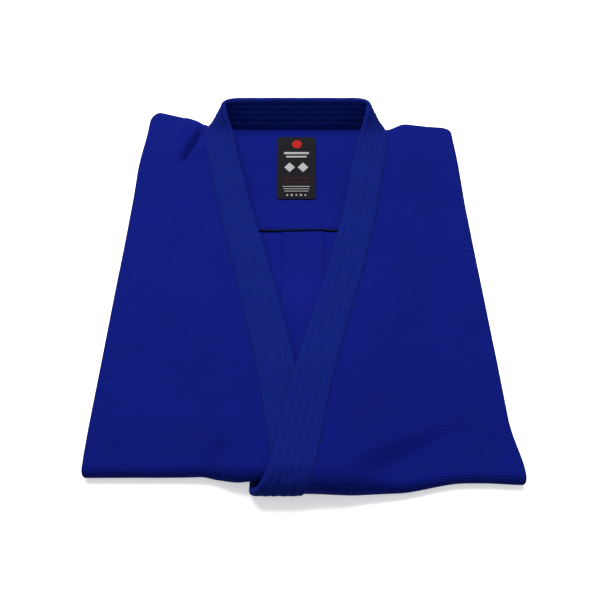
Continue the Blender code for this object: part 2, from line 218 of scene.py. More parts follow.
def fold_line(x, y, start, end, width, height):
    """A soft ridge (or valley, where height is negative) from start to end that dies out at both ends."""
    start, end = np.array(start), np.array(end)
    along = end - start
    length = np.linalg.norm(along)
    unit = along / length
    run = (x - start[0]) * unit[0] + (y - start[1]) * unit[1]
    off = (x - start[0]) * unit[1] - (y - start[1]) * unit[0]
    fade = ease(run, -0.25 * length, 0.25 * length) * (1 - ease(run, 0.75 * length, 1.25 * length))
    return height * fade * np.exp(-((off / width) ** 2))


def smooth_rows(rows):
    """Dense, rounded version of a band's rows as (ys, seam xs, free xs, heights), y rising."""
    table = np.array(rows)[::-1]
    ys = np.linspace(table[0, 0], table[-1, 0], 261)
    kernel = np.exp(-((np.arange(-30, 31) / 13.0) ** 2))
    kernel /= kernel.sum()
    columns = [ys]
    for i in (1, 2, 3):
        line = np.interp(ys, table[:, 0], table[:, i])
        before = 2 * line[0] - line[30:0:-1]
        after = 2 * line[-1] - line[-2:-32:-1]
        columns.append(np.convolve(np.concatenate([before, line, after]), kernel, "valid"))
    return columns


SMOOTH = {"left": smooth_rows(LEFT_BAND), "right": smooth_rows(RIGHT_BAND)}


def band_at(name, y, column):
    """Seam x (1), free x (2) or height (3) of a band at y."""
    rows = SMOOTH[name]
    return np.interp(y, rows[0], rows[column])


def over_bands(x):
    return 1.0 - ease(np.abs(x - CENTRE_X), 0.035, 0.100)


def over_skirt(y):
    return 1.0 - ease(y, SKIRT_END_Y, SKIRT_END_Y + 0.12)


def neck_rise(x, y):
    return 0.030 * ease(y, 0.130, NECK_Y) * (1.0 - 0.7 * ease(np.abs(x), 0.10, 0.22))


def sleeve_z(x, y):
    lift = SKIRT_LIFT + BAND_LIFT * over_bands(x)
    return SLEEVE_Z - SKIRT_LIFT + lift * over_skirt(y)


def back_z(x, y):
    lift = SKIRT_LIFT + BAND_LIFT * over_bands(x)
    loose = 0.004 * (1.0 - over_skirt(y))
    return BACK_Z - SKIRT_LIFT + loose + lift * over_skirt(y) + neck_rise(x, y)


def skirt_back_z(x, _y):
    """Height of the back's lower run, which is the same at every y."""
    return SKIRT_BACK_Z + BAND_LIFT * over_bands(x)


def skirt_front_z(name, x):
    """Height of a front's lower run: flat on the table, lifted onto its own band at the middle."""
    if name == "left":
        return SKIRT_FRONT_Z + 0.0034 * (1.0 - ease(x, 0.025, 0.080))
    return SKIRT_FRONT_Z + 0.0128 * ease(x, -0.100, -0.045)


def front_z(name, x, y):
    """Height of a front panel: at its band's height beside the band, falling away to the side."""
    seam, height = band_at(name, y, 1), band_at(name, y, 3)
    side = FRONT_SIDE_Z + 0.010 * ease(y, 0.12, SIDE_Y)
    away = np.maximum(np.abs(x) - np.abs(seam), 0.0)
    base = side + (height - side) * np.exp(-((away / 0.075) ** 2))
    free = ease(away, 0.0, 0.03)
    coarse, fine = RIPPLE_SEEDS[name]
    base = base + free * (0.0009 * ripples(x, y, 0.11, coarse))
    base = base + free * 0.0003 * ripples(x, y, 0.030, fine)
    for start, end, width, rise in FOLDS[name]:
        base = base + fold_line(x, y, start, end, width, rise)
    if name == "left":
        return base - 0.0060 * ease(0.3 * (x - 0.17) - y, 0.225, 0.300) * ease(x, 0.03, 0.11)
    return base - 0.0045 * ease(-y, 0.230, 0.300) * ease(-x, 0.06, 0.12)


def near_edge(name, x):
    """y of the folded edge along a front panel: the upper, left front bulges further out."""
    if name == "left":
        return -0.3205 + 0.0045 * ease(x, 0.05, 0.11) + 0.0140 * ease(x, 0.10, 0.195)
    return -0.3061 + 0.0105 * ease(-x, 0.065, 0.115)


def shoulder_y(x):
    """Furthest y of a shoulder: the wearer's right one is drawn up, the left one is nearly level."""
    drawn_up = 0.500 * np.clip(-x - 0.140, 0.0, 0.092)
    right = 0.2955 + drawn_up - 0.016 * ease(-x, 0.234, HALF_WIDTH)
    left = 0.288 + 0.017 * ease(x, 0.135, 0.180) - 0.005 * ease(x, 0.236, HALF_WIDTH)
    return np.where(x < 0, right, left)


# ---- meshes


def signed_volume(points, faces):
    """Volume that the faces enclose; negative when they face inwards."""
    corners = np.array([face[:3] for face in faces] + [[f[0], f[2], f[3]] for f in faces if len(f) == 4])
    a, b, c = (points[corners[:, i]] for i in range(3))
    return float(np.einsum("ij,ij->i", a, np.cross(b, c)).sum())


def placed(name, data):
    """A new object in the scene for a mesh, a lamp or the camera."""
    obj = bpy.data.objects.new(name, data)
    bpy.context.scene.collection.objects.link(obj)
    return obj


def new_object(name, points, faces, finish, uv=None):
    """A smooth-shaded mesh that rides on the jacket, with cloth coordinates in metres as its UV map."""
    points = np.asarray(points, float)
    faces = [list(map(int, face)) for face in faces]
    if signed_volume(points, faces) < 0:
        faces = [face[::-1] for face in faces]
    mesh = bpy.data.meshes.new(name)
    mesh.from_pydata(points.tolist(), [], faces)
    mesh.polygons.foreach_set("use_smooth", [True] * len(mesh.polygons))
    if uv is not None:
        layer = mesh.uv_layers.new(name="cloth")
        corners = np.empty(len(mesh.loops), int)
        mesh.loops.foreach_get("vertex_index", corners)
        layer.data.foreach_set("uv", np.asarray(uv, float)[corners].ravel())
    mesh.materials.append(finish)
    mesh.update()
    obj = placed(name, mesh)
    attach(obj, BODY)
    return obj


def grid_normals(grid):
    normal = np.cross(np.gradient(grid, axis=0), np.gradient(grid, axis=1))
    return normal / np.maximum(np.linalg.norm(normal, axis=2, keepdims=True), 1e-12)


def cloth(name, grid, uv, thickness, finish):
    """A closed sheet of real thickness with rounded rims, from a grid of middle points."""
    rows, columns = grid.shape[:2]
    normal = grid_normals(grid)
    inset = np.ones((rows, columns))
    inset[[0, -1], :] = 0.45
    inset[:, [0, -1]] = 0.45
    offset = normal * (thickness / 2) * inset[:, :, None]
    points = np.vstack([(grid + offset).reshape(-1, 3), (grid - offset).reshape(-1, 3)])
    count = rows * columns
    index = np.arange(count).reshape(rows, columns)
    quads = np.stack([index[:-1, :-1], index[1:, :-1], index[1:, 1:], index[:-1, 1:]], -1).reshape(-1, 4)
    rim = np.concatenate([index[0, :], index[1:, -1], index[-1, -2::-1], index[-2:0:-1, 0]])
    after = np.roll(rim, -1)
    walls = np.stack([rim, after, after + count, rim + count], -1)
    faces = np.vstack([quads, quads[:, ::-1] + count, walls])
    flat = uv.reshape(-1, 2)
    obj = new_object(name, points, faces, finish, np.vstack([flat, flat]))
    return obj


def xyz(x, y, z):
    return np.stack([x, y, z], -1)


def unit(vectors):
    return vectors / np.linalg.norm(vectors, axis=1, keepdims=True)


def line_length(line):
    """Distance along a line from its first point."""
    return np.concatenate([[0], np.cumsum(np.linalg.norm(np.diff(line, axis=0), axis=1))])


def sampled(line, lengths, marks):
    """Points of a line at the given distances along it."""
    return np.stack([np.interp(marks, lengths, line[:, i]) for i in range(3)], -1)


def swept_faces(count, size):
    """Faces of a closed tube: count rings of size points each, capped at both ends."""
    index = np.arange(count * size).reshape(count, size)
    after = np.roll(index, -1, axis=1)
    quads = np.stack([index[:-1], after[:-1], after[1:], index[1:]], -1).reshape(-1, 4)
    return quads.tolist() + [index[0, ::-1].tolist(), index[-1].tolist()]


def run_lengths(grid, axis):
    """Distance along the cloth from its first row or column."""
    steps = np.linalg.norm(np.diff(grid, axis=axis), axis=2)
    start = np.zeros_like(np.take(steps, [0], axis=axis))
    return np.cumsum(np.concatenate([start, steps], axis=axis), axis=axis)


def lying_sheet(name, height, left, right, y_range, thickness, finish, slot, spacing=0.004):
    """A sheet at height(x, y) between the edges left(y) and right(y)."""
    rows = max(int(abs(y_range[1] - y_range[0]) / spacing), 6)
    ys = np.linspace(y_range[0], y_range[1], rows)
    first, last = left(ys) + 0 * ys, right(ys) + 0 * ys
    columns = max(int(np.max(np.abs(last - first)) / spacing), 6)
    share = np.linspace(0, 1, columns)
    x = first[:, None] + (last - first)[:, None] * share[None, :]
    y = np.repeat(ys[:, None], columns, axis=1)
    grid = xyz(x, y, height(x, y))
    uv = np.stack([x, y], -1)
    return cloth(name, grid, uv, thickness, finish)


def smooth_path(points, per_span):
    """Points along the Catmull-Rom curve through the given ones."""
    points = np.array(points, float)
    padded = np.vstack([2 * points[0] - points[1], points, 2 * points[-1] - points[-2]])
    path = []
    for a, b, c, d in zip(padded, padded[1:], padded[2:], padded[3:]):
        square, cube = 2 * a - 5 * b + 4 * c - d, 3 * b - a - 3 * c + d
        for t in np.linspace(0, 1, per_span, endpoint=False):
            path.append(0.5 * (2 * b + (c - a) * t + square * t**2 + cube * t**3))
    return np.array(path + [points[-1]])


# ---- materials


class Graph:
    """Short way to write a shader's maths: sockets and plain numbers go in, sockets come out."""

    def __init__(self, name):
        self.material = bpy.data.materials.new(name)
        self.material.use_nodes = True
        self.tree = self.material.node_tree
        self.shader = self.tree.nodes["Principled BSDF"]

    def node(self, kind, **settings):
        made = self.tree.nodes.new(kind)
        for key, value in settings.items():
            setattr(made, key, value)
        return made

    def link(self, value, socket):
        if hasattr(value, "is_linked"):
            self.tree.links.new(value, socket)
        else:
            socket.default_value = value

    def math(self, operation, a, b=0.0):
        made = self.node("ShaderNodeMath", operation=operation)
        self.link(a, made.inputs[0])
        self.link(b, made.inputs[1])
        return made.outputs[0]

    def times(self, a, b):
        return self.math("MULTIPLY", a, b)

    def plus(self, a, b):
        return self.math("ADD", a, b)

    def ribs(self, value):
        """A rounded rib between each whole number and the next."""
        return self.math("ABSOLUTE", self.math("SINE", self.times(value, math.pi)))

    def cloth_axes(self):
        uv = self.node("ShaderNodeUVMap", uv_map="cloth")
        parts = self.node("ShaderNodeSeparateXYZ")
        self.tree.links.new(uv.outputs[0], parts.inputs[0])
        return uv.outputs[0], parts.outputs[0], parts.outputs[1]

    def noise(self, vector, scale, detail=2.0):
        made = self.node("ShaderNodeTexNoise")
        self.link(vector, made.inputs["Vector"])
        made.inputs["Scale"].default_value = scale
        made.inputs["Detail"].default_value = detail
        return made.outputs[0]

    def mix(self, share, a, b):
        made = self.node("ShaderNodeMix", data_type="RGBA")
        self.link(share, made.inputs[0])
        self.link(a, made.inputs[6])
        self.link(b, made.inputs[7])
        return made.outputs[2]

    def finish(self, colour, height, depth, roughness, sheen):
        """The cloth itself: matt, a little fuzzy, with the weave's height as bump."""
        bump = self.node("ShaderNodeBump")
        bump.inputs["Distance"].default_value = depth
        self.link(height, bump.inputs["Height"])
        self.tree.links.new(bump.outputs[0], self.shader.inputs["Normal"])
        self.link(colour, self.shader.inputs["Base Color"])
        self.link(roughness, self.shader.inputs["Roughness"])
        self.shader.inputs["Specular IOR Level"].default_value = 0.03
        self.shader.inputs["Sheen Weight"].default_value = sheen
        self.shader.inputs["Sheen Roughness"].default_value = 0.45
        self.shader.inputs["Sheen Tint"].default_value = (0.06, 0.12, 0.9, 1.0)
        return self.material


def scaled(colour, factor):
    return tuple(channel * factor for channel in colour[:3]) + (1.0,)


def shaded_colour(graph, vector, colour, height, valley):
    """Colour that darkens between the threads and varies a little across the cloth."""
    patchy = graph.noise(vector, 14.0, 3.0)
    woven = graph.mix(height, scaled(colour, valley), scaled(colour, 1.12))
    faded = graph.mix(height, scaled(colour, valley * 1.12), scaled(colour, 1.36))
    return graph.mix(patchy, woven, faded)


def pearl_weave(name, colour, row, grain, depth):
    """Rice-grain cotton: wavy crosswise ribs, broken into grains that step from row to row."""
    graph = Graph(name)
    vector, u, v = graph.cloth_axes()
    wander = graph.times(graph.math("SUBTRACT", graph.noise(vector, 90.0), 0.5), 0.0038)
    drift = graph.times(graph.math("SUBTRACT", graph.noise(vector, 140.0), 0.5), 0.0090)
    rows = graph.math("DIVIDE", graph.plus(v, wander), row)
    shift = graph.times(graph.math("FLOOR", rows), 0.5)
    grains = graph.plus(graph.math("DIVIDE", graph.plus(u, drift), grain), shift)
    bead = graph.plus(graph.times(graph.math("POWER", graph.ribs(grains), 0.6), 0.55), 0.45)
    height = graph.times(graph.math("POWER", graph.ribs(rows), 0.7), bead)
    loose = graph.times(graph.noise(vector, 230.0), 0.35)
    fuzz = graph.times(graph.noise(vector, 1400.0), 0.14)
    height = graph.plus(graph.plus(height, loose), fuzz)
    tint = shaded_colour(graph, vector, colour, graph.times(height, 0.75), PEARL_VALLEY)
    rough = graph.plus(graph.times(graph.noise(vector, 300.0), 0.12), 0.80)
    return graph.finish(tint, height, depth, rough, 0.10)


def plain_weave(name, colour, thread, depth, twill=False):
    """Flat canvas or, with twill, drill with its fine diagonal ribs."""
    graph = Graph(name)
    vector, u, v = graph.cloth_axes()
    if twill:
        slant = graph.plus(u, graph.times(v, 1.4))
        height = graph.ribs(graph.math("DIVIDE", slant, thread))
    else:
        warp = graph.math("SINE", graph.times(u, 2 * math.pi / thread))
        weft = graph.math("SINE", graph.times(v, 2 * math.pi / thread))
        height = graph.plus(graph.times(graph.times(warp, weft), 0.5), 0.5)
    height = graph.plus(height, graph.times(graph.noise(vector, 420.0, 3.0), 0.55))
    tint = shaded_colour(graph, vector, colour, graph.times(height, 0.7), PLAIN_VALLEY)
    rough = graph.plus(graph.times(graph.noise(vector, 220.0), 0.12), 0.74)
    return graph.finish(tint, height, depth, rough, 0.08)


def thread_finish(name, colour):
    """Twisted sewing thread or embroidery: fine slanting strands."""
    graph = Graph(name)
    place = graph.node("ShaderNodeTexCoord").outputs["Object"]
    strands = graph.node("ShaderNodeTexWave", wave_type="BANDS", bands_direction="DIAGONAL")
    graph.link(place, strands.inputs["Vector"])
    strands.inputs["Scale"].default_value = 700.0
    strands.inputs["Distortion"].default_value = 2.0
    tint = graph.mix(strands.outputs["Fac"], scaled(colour, 0.7), scaled(colour, 1.15))
    return graph.finish(tint, strands.outputs["Fac"], 0.0002, 0.55, 0.1)


# ---- pieces


def side_of(name):
    return 1 if name == "left" else -1


def side_limit(name, y):
    return HALF_WIDTH - SIDE_LEAN[name] * ease(y, 0.20, SIDE_Y)


def panel_edge(name, y):
    """x of a front panel's inner edge, tucked into its band, then along the foot of the collar."""
    tucked = np.abs(band_at(name, y, 1)) - BAND_SEAM
    foot_y, foot_x = (0.2262, 0.256, 0.278, 0.292, 0.31), (0.1385, 0.1405, 0.1365, 0.128, 0.124)
    collar = np.interp(y, foot_y, foot_x) * NECK_LEAN[name] - 0.005
    return side_of(name) * (tucked + (collar - tucked) * ease(y, 0.19, 0.235))


def roll_drift(angle):
    """How far the upper band's seam edge and free edge lean sideways at an angle round the near fold."""
    lean = ease(angle / math.pi, -0.1, 0.75)
    return -0.0170 * lean, -0.0250 * lean


def front_columns():
    """Across a front: (share of the top run, angle round the side roll, distance back under it)."""
    flat, roll, under = 86, 12, 8
    share = np.concatenate([np.linspace(0, 1, flat), np.ones(roll + under)])
    round_side = np.linspace(0, math.pi, roll + 1)[1:]
    turn = np.concatenate([np.zeros(flat), round_side, np.full(under, math.pi)])
    inward = np.concatenate([np.zeros(flat + roll), np.linspace(0, 0.024, under + 1)[1:]])
    return share, turn, inward


def front_section(name, y):
    """(x, z, depth below the top) of every column of a front; y is one value for each column."""
    sign = side_of(name)
    share, turn, inward = front_columns()
    side_x = sign * 0.246
    radius = np.clip(front_z(name, side_x, y) - back_z(side_x, y), 0.006, 0.018) / 2
    limit = side_limit(name, y)
    start = sign * (limit - radius)
    edge = panel_edge(name, y)
    x = edge + (start - edge) * share + sign * radius * np.sin(turn) - sign * inward
    top = front_z(name, np.where(np.abs(x) > limit - radius, start, x), y)
    depth = radius * (1 - np.cos(turn))
    return x, top - depth, depth


def shoulder_roll(name):
    """Middle (y) and radius of the roll over the shoulder, for each column."""
    columns = front_columns()[0].shape
    x, _, depth = front_section(name, np.full(columns, 0.28))
    thickness = front_z(name, x, 0.285) - sleeve_z(x, 0.285) - 0.0055
    outer = np.clip(thickness / 2, 0.006, 0.021)
    return shoulder_y(x) - outer, np.maximum(outer - depth, LEAST_ROLL)


def near_roll(name):
    """Middle (y) and radius of the roll at the near fold, for each column."""
    near_y = np.full(front_columns()[0].shape, -0.291)
    x, _, depth = front_section(name, near_y)
    outer_x = np.minimum(np.abs(x), HALF_WIDTH) * side_of(name)
    half_drop = (front_z(name, x, near_y) - skirt_front_z(name, x)) / 2
    return near_edge(name, outer_x) + half_drop, np.maximum(half_drop - depth, LEAST_ROLL)


def rows_behind(first, middle, radius):
    """Rows from the end tucked in behind the shoulder, up and over the roll, to the top run's first row."""
    rows = []
    for angle in np.linspace(0, math.pi, 13)[1:]:
        z = first[:, 2] - radius * (1 - math.cos(angle))
        rows.append(xyz(first[:, 0], middle + radius * math.sin(angle), z))
    low = rows[-1][:, 2]
    for tuck in np.linspace(0, 0.03, 9)[1:]:
        rows.append(xyz(first[:, 0], middle - tuck, low))
    return rows[::-1]


def rows_beneath(name, last, middle, radius):
    """Rows round the near roll and back underneath to the waist seam; the left one leans with its band."""
    by_band = (1 - ease(last[:, 0], 0.02, 0.12)) * (name == "left")
    rows = []
    for angle in np.linspace(0, math.pi, 23)[1:]:
        x = last[:, 0] + roll_drift(angle)[0] * by_band
        z = last[:, 2] - radius * (1 - math.cos(angle))
        rows.append(xyz(x, middle - radius * math.sin(angle), z))
    end = rows[-1]
    for share in np.linspace(0, 1, 8)[1:]:
        rows.append(xyz(end[:, 0], middle + (WAIST_Y - middle) * share, end[:, 2]))
    return rows


def splay_corner(grid):
    """Push the near corner at the wearer's left outwards, where the layers stand open."""
    x, y, z = grid[..., 0], grid[..., 1], grid[..., 2]
    corner = ease(x, 0.215, 0.250) * (1 - ease(y, -0.290, -0.225)) * (1 - ease(z, 0.016, 0.034))
    x += 0.009 * corner
    y -= 0.002 * corner


def front_panel(name, finish):
    """One front: over the shoulder, down the chest, round the side seam, the near fold and underneath."""
    far_middle, far_radius = shoulder_roll(name)
    near_middle, near_radius = near_roll(name)
    rows = []
    for share in np.linspace(0, 1, 196):
        y = far_middle + (near_middle - far_middle) * share
        x, z, _ = front_section(name, y)
        rows.append(xyz(x, y, z))
    behind = rows_behind(rows[0], far_middle, far_radius)
    beneath = rows_beneath(name, rows[-1], near_middle, near_radius)
    grid = np.array(behind + rows + beneath)
    if name == "left":
        splay_corner(grid)
    along = run_lengths(grid, 0)
    top_row = len(behind)
    v = grid[top_row, :, 1][None, :] - (along - along[top_row][None, :])
    u = grid[:, :1, 0] + side_of(name) * run_lengths(grid, 1)
    obj = cloth(f"{name}_front", grid, np.stack([u, v], -1), BODY_CLOTH, finish)
    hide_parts(f"{name}_front_panel")


def round_fold(name):
    """(y, height, angle) of a band from its hem underneath, then up round the near fold."""
    bottom, radius = BAND_TURN[name]
    reach = radius + (LEFT_TURN_REACH if name == "left" else 0.0)
    points = [(y, bottom, math.pi) for y in (SKIRT_END_Y, -0.15, -0.22, -0.27)]
    for angle in np.linspace(math.pi, 0, 7):
        points.append((FOLD_Y - reach * math.sin(angle), FOLD_Z + radius * math.cos(angle), angle))
    return points


def band_edges(name):
    """Points of a band's seam edge and free edge, from its hem to the middle of the neck."""
    seam, free = [], []
    start = [band_at(name, -0.294, column) for column in (1, 2)]
    for y, z, angle in round_fold(name):
        drift = roll_drift(angle) if name == "left" else (0.0, 0.0)
        seam.append((start[0] + drift[0], y, z))
        free.append((start[1] + drift[1], y, z))
    for y in (-0.265, -0.23, -0.19, -0.15, -0.11, -0.07, -0.02, 0.03, 0.08, 0.13, 0.175, 0.205):
        seam_x, free_x, z = (float(band_at(name, y, column)) for column in (1, 2, 3))
        seam.append((seam_x, y, z))
        free.append((free_x, y, z))
    lean = side_of(name) * NECK_LEAN[name]
    seam += [(lean * x, y, z) for x, y, z in COLLAR_SEAM]
    free += [(lean * x, y, z) for x, y, z in COLLAR_FREE]
    return seam, free


def band_route():
    """Dense seam-edge and free-edge paths, from the right hem over the neck to the left hem."""
    right_seam, right_free = band_edges("right")
    left_seam, left_free = band_edges("left")
    seam = right_seam + left_seam[::-1][1:]
    free = right_free + left_free[::-1][1:]
    return smooth_path(seam, 12), smooth_path(free, 12)


def even_stations(seam, free, spacing):
    """The two edges resampled so that the band's middle advances evenly."""
    length = line_length((seam + free) / 2)
    marks = np.linspace(0, length[-1], int(length[-1] / spacing))
    return sampled(seam, length, marks), sampled(free, length, marks), marks


def band_frames(seam, free):
    """Directions at every station of a band: across it from seam to free edge, and square to its face."""
    across = unit(free - seam)
    return across, unit(np.cross(across, np.gradient((seam + free) / 2, axis=0)))


def band_outline():
    """(distance from the seam edge, height) round the band's section, starting on its lower face."""
    half = BAND_THICK / 2
    flat = np.linspace(half, BAND_WIDTH - half, 56)
    seam_turn = np.linspace(-math.pi / 2, -3 * math.pi / 2, 9)[1:-1]
    free_turn = np.linspace(-math.pi / 2, math.pi / 2, 11)[1:-1]
    points = [(w, -half) for w in flat]
    points += [(BAND_WIDTH - half + half * math.cos(a), half * math.sin(a)) for a in free_turn]
    points += [(w, half) for w in flat[::-1]]
    points += [(half + half * math.cos(a), -half * math.sin(a)) for a in seam_turn]
    return np.array(points)


def groove_depth(distance, marks):
    """How far the stitching pulls the canvas in, with a pucker at every stitch."""
    depth = np.zeros(np.broadcast(distance, marks).shape)
    for number, row in enumerate(STITCH_ROWS):
        pull = 0.00075 + 0.00022 * np.sin(2 * math.pi * marks / (STITCH_STEP * 2.7) + 1.7 * number)
        depth = depth + pull * np.exp(-(((distance - row) / 0.0016) ** 2))
    return depth


def lapel_band(name, seam, free, marks, finish, thread):
    """The thick stitched band: a padded section swept along its route."""
    across, normal = band_frames(seam, free)
    outline = band_outline()
    stretch = np.linalg.norm(free - seam, axis=1)[:, None] / BAND_WIDTH
    distance, height = outline[None, :, 0], outline[None, :, 1]
    flat_share = np.clip(np.abs(height) / (BAND_THICK / 2), 0, 1) ** 3
    inset = groove_depth(distance, marks[:, None]) * flat_share
    wave = 0.00035 * ripples(marks[:, None] * 1.0, distance * 2.0, 0.022, 21)
    reach = height - np.sign(height) * inset + wave
    points = seam[:, None] + across[:, None] * (distance * stretch)[..., None]
    points = points + normal[:, None] * reach[..., None]
    uv = np.stack(np.broadcast_arrays(line_length(outline)[None, :], marks[:, None]), -1)
    faces = swept_faces(len(marks), len(outline))
    obj = new_object(f"{name}_lapel_band", points.reshape(-1, 3), faces, finish, uv.reshape(-1, 2))
    lines = []
    for row in STITCH_ROWS:
        for side in (1, -1):
            line = seam + across * row * stretch + normal * side * (BAND_THICK / 2 - 0.00055)
            lines.append((line, normal * side))
    stitches(f"{name}_lapel_stitching", lines, thread)
    return obj


def stitches(name, lines, finish, step=STITCH_STEP, length=STITCH_LENGTH, radius=STITCH_RADIUS):
    """Separate thread stitches laid along each (points, normals) line, all in one piece."""
    rings = ((-0.5, 0.15), (-0.3, 0.85), (0.0, 1.0), (0.3, 0.85), (0.5, 0.15))
    template = []
    for share, size in rings:
        for angle in [2 * math.pi * k / STITCH_SIDES for k in range(STITCH_SIDES)]:
            across, out = math.cos(angle) * radius * size, math.sin(angle) * radius * size
            template.append((share * length, across, out))
    template = np.array(template)
    pattern = swept_faces(len(rings), STITCH_SIDES)
    points, faces = [], []
    for line, normals in lines:
        run = line_length(line)
        places = np.arange(step / 2, run[-1] - step / 2, step)
        spot = sampled(line, run, places)
        along = unit(sampled(line, run, places + 0.0005) - spot)
        aside = unit(np.cross(sampled(normals, run, places), along))
        up = np.cross(along, aside)
        for i in range(len(places)):
            start = len(points) * len(template)
            points.append(spot[i] + template @ np.array([along[i], aside[i], up[i]]))
            faces += [[start + corner for corner in face] for face in pattern]
    new_object(name, np.vstack(points), faces, finish)


def back_panel(name, finish):
    """Half of the back: rolled down behind the collar, flat under the fronts, then round the near fold."""
    xs = side_of(name) * np.linspace(0.0001, HALF_WIDTH - 0.0170, 62)
    away = np.abs(xs)
    far = NECK_Y - 0.0050 + 0.008 * ease(away, 0.14, 0.20)
    far = far - 0.010 * ease(away, 0.100, 0.115)
    start = back_z(xs, far)
    slack = 0.5 * (start - sleeve_z(xs, far) - 0.0060) * (1 - ease(away, 0.118, 0.145)) + 0.0010
    rows = []
    for tuck in np.linspace(0.030, 0, 6)[:-1]:
        rows.append(xyz(xs, far - tuck, start - 2 * slack))
    for angle in np.linspace(math.pi, 0, 12)[:-1]:
        y = far + np.minimum(slack, 0.0130) * math.sin(angle)
        rows.append(xyz(xs, y, start - slack * (1 - math.cos(angle))))

    radius = (back_z(xs, -0.28) - skirt_back_z(xs, -0.28)) / 2
    fold = near_edge(name, xs) + 0.019 + radius
    for share in np.linspace(0, 1, 150):
        y = far + (fold - far) * share
        z = back_z(xs, y) + 0.0004 * ripples(xs, y, 0.09, 31) * (1 - ease(away, 0.09, 0.12))
        rows.append(xyz(xs, y, z))
    last = rows[-1][:, 2]
    for angle in np.linspace(0, math.pi, 9)[1:]:
        z = last - radius * (1 - math.cos(angle))
        rows.append(xyz(xs, fold - radius * math.sin(angle), z))
    low = rows[-1][:, 2]
    for share in np.linspace(0, 1, 8)[1:]:
        y = fold + (WAIST_Y - fold) * share
        rows.append(xyz(xs, y, low + (skirt_back_z(xs, y) - low) * share))
    grid = np.array(rows)
    uv = np.stack([grid[..., 0], far[None, :] + 0.06 - run_lengths(grid, 0)], -1)
    obj = cloth(f"{name}_back", grid, uv, BODY_CLOTH, finish)
    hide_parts(f"{name}_back_panel")


def level(value):
    """An edge that stays at one x."""
    return lambda ys: np.full(ys.shape, value)


def rounded_ends(value, inset, y_range, radius):
    """Edge at x = value whose two ends turn in (towards inset's sign) on a corner radius."""

    def edge(ys):
        near = np.minimum(ys - y_range[0], y_range[1] - ys)
        depth = np.clip(radius - near, 0, radius)
        return value + inset * (radius - np.sqrt(radius**2 - depth**2 * 0.999))

    return edge


def yoke_height(x, y):
    """Middle of the yoke lining, lifted at its upper corners to meet the foot of the collar."""
    wave = 0.0006 * ripples(x, y, 0.070, 41) * ease(y, YOKE_Y, YOKE_Y + 0.02)
    lift = 0.0075 * ease(np.abs(x), 0.095, 0.128) * ease(y, 0.235, 0.262)
    return back_z(x, y) + BACK_TOP + 0.0015 + LINING_CLOTH / 2 + np.maximum(wave, -0.0006) + lift


def tape_height(x, y):
    """Middle of the tape over the centre back seam, a little proud along its two edges."""
    edge = np.minimum(x - TAPE_LEFT, TAPE_RIGHT - x)
    return back_z(x, y) + BACK_TOP + 0.0008 + LINING_CLOTH / 2 + 0.0006 * (1 - ease(edge, 0.0, 0.004))


def back_interior(smooth, cord_finish, thread):
    """What shows between the lapels: yoke lining, its piping, and the tape over the centre back seam."""
    yoke = lying_sheet(
        "yoke_inside", yoke_height, lambda ys: -0.150 + 0.012 * ease(ys, 0.250, 0.285),
        lambda ys: 0.150 - 0.012 * ease(ys, 0.250, 0.285), (YOKE_Y, NECK_Y + 0.0015), LINING_CLOTH,
        smooth, "drill_lining", spacing=0.003,
    )
    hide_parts("yoke_lining")

    tape = lying_sheet(
        "centre_tape", tape_height, level(TAPE_LEFT), level(TAPE_RIGHT), (-0.270, YOKE_Y - 0.0006),
        LINING_CLOTH, smooth, "lapel_canvas", spacing=0.002,
    )
    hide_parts("centre_back_tape")

    xs = np.linspace(-0.148, 0.148, 150)
    ys = YOKE_Y - 0.0015 + 0.0006 * np.sin(xs * 60)
    over_tape = 1 - ease(np.abs(xs - (TAPE_LEFT + TAPE_RIGHT) / 2), 0.030, 0.037)
    line = xyz(xs, ys, back_z(xs, ys) + BACK_TOP + 0.0023 + 0.0011 * over_tape)
    cord_piece = round_cord("yoke_cord", line, 0.0014, cord_finish)
    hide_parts("yoke_piping")

    rows = []
    along = np.linspace(-0.24, YOKE_Y - 0.006, 120)
    for x in (TAPE_LEFT + 0.0018, TAPE_LEFT + 0.0055, TAPE_RIGHT - 0.0055, TAPE_RIGHT - 0.0018):
        rows.append(surface_line(x, along, tape_height, 0.0005))
    for offset in (0.0042, 0.0080):
        rows.append(surface_line(np.linspace(-0.145, 0.145, 120), YOKE_Y + offset, yoke_height, 0.0005))
    stitches("back_seam_stitching", rows, thread)


def surface_line(x, y, height, lift):
    """Points just off a level surface, and their normals, for a row of stitches."""
    x, y = np.broadcast_arrays(x, y)
    return xyz(x, y, height(x, y) + lift), np.repeat(UP[None, :], len(x), axis=0)


def round_cord(name, line, radius, finish):
    """A round cord along a line, twisted lightly, with closed ends."""
    along = unit(np.gradient(line, axis=0))
    aside = unit(np.cross(along, UP))
    up = np.cross(aside, along)
    turn = np.linspace(0, 2 * math.pi, CORD_SIDES, endpoint=False)
    size = radius * (1 + 0.06 * np.sin(np.arange(len(line)) * 1.9))[:, None, None]
    ring = aside[:, None] * np.cos(turn)[None, :, None] + up[:, None] * np.sin(turn)[None, :, None]
    points = line[:, None] + ring * size
    uv = np.stack(np.broadcast_arrays(line_length(line)[:, None], turn[None, :] * radius), -1)
    faces = swept_faces(len(line), CORD_SIDES)
    return new_object(name, points.reshape(-1, 3), faces, finish, uv.reshape(-1, 2))


def label_height(x, y):
    return back_z(x, y) + BACK_TOP + 0.0013 + LINING_CLOTH + 0.0012


